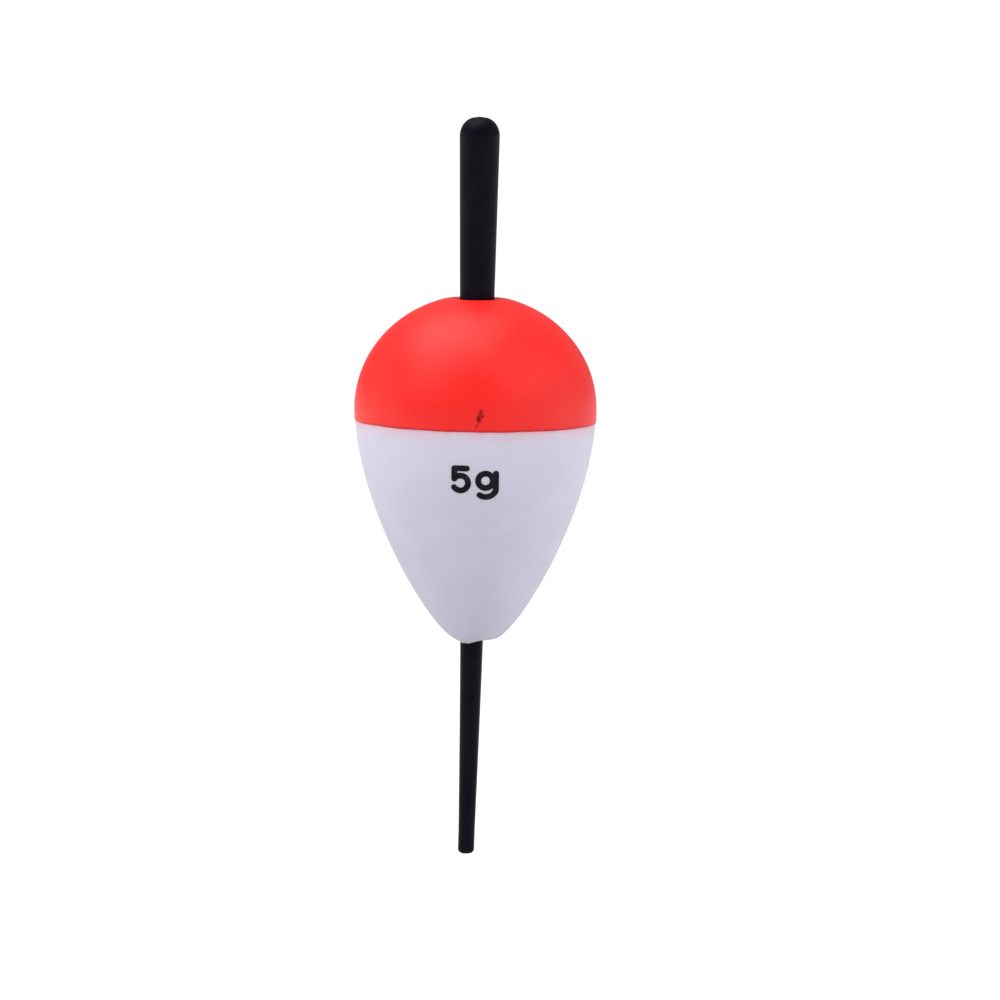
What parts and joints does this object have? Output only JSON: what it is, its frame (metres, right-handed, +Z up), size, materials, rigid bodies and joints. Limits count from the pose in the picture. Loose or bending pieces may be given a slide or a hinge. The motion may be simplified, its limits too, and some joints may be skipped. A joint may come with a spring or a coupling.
{
  "type": "fishing float",
  "caption": "Pear-shaped foam fishing float with a red top and white underside, held on the line by a long tapered peg through its bore.",
  "frame": {"origin": "on the bore's axis, in the middle of the lower mouth at the small end of the body", "axes": "+Z up along the bore and the peg, towards the red top; -Y faces the front, where the weight rating is printed; +X to the right of the print"},
  "size_m": [0.025, 0.025, 0.0765],
  "materials": {
    "foam": "bare moulded polystyrene foam",
    "white_paint": "satin paint",
    "red_paint": "bright satin paint",
    "black_ink": "matt pad print",
    "black_plastic": "satin moulded plastic"
  },
  "bodies": {
    "float_body": {"foam_core": "foam", "white_coat": "white_paint", "red_coat": "red_paint", "rating_print": "black_ink"},
    "peg": {"peg": "black_plastic"}
  },
  "joints": [
    {"name": "peg_pull", "type": "slide", "parent": "float_body", "child": "peg", "axis": [0, 0, 1], "range_m": [0, 0.058]}
  ]
}
